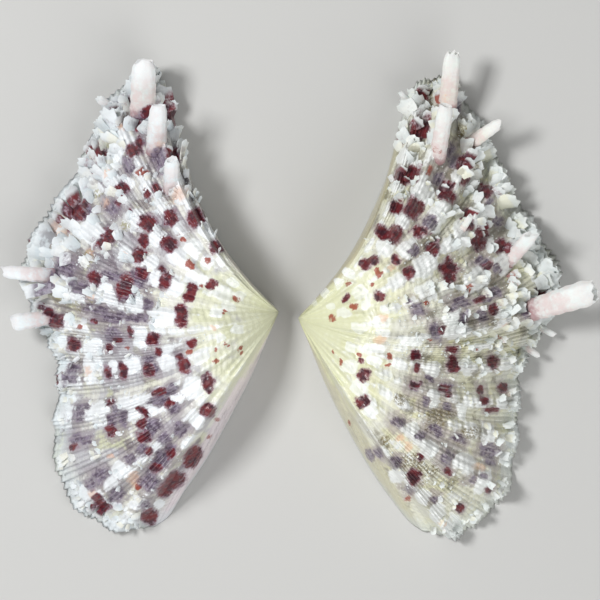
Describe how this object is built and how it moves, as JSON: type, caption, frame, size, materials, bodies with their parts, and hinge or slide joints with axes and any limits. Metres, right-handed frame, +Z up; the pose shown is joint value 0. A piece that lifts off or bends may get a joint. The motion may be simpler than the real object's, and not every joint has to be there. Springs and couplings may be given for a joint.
{
  "type": "bear paw clam shell",
  "caption": "Two loose valves of a ribbed, spiny clam shell with wavy edges, lying side by side with their outsides up and their beaks together.",
  "frame": {"origin": "middle of the pair's bounding box, on the ground that both valves stand on", "axes": "+X from the left valve to the right valve, +Y towards the spiny tips, +Z up out of the ground"},
  "size_m": [0.077, 0.0632, 0.0152],
  "materials": {
    "left_shell": "satin, slightly glossy shell with chalky white scales",
    "right_shell": "satin, slightly glossy shell with chalky white scales and an olive tinge"
  },
  "bodies": {
    "root": {"left_valve": "left_shell", "right_valve": "right_shell"}
  },
  "joints": []
}
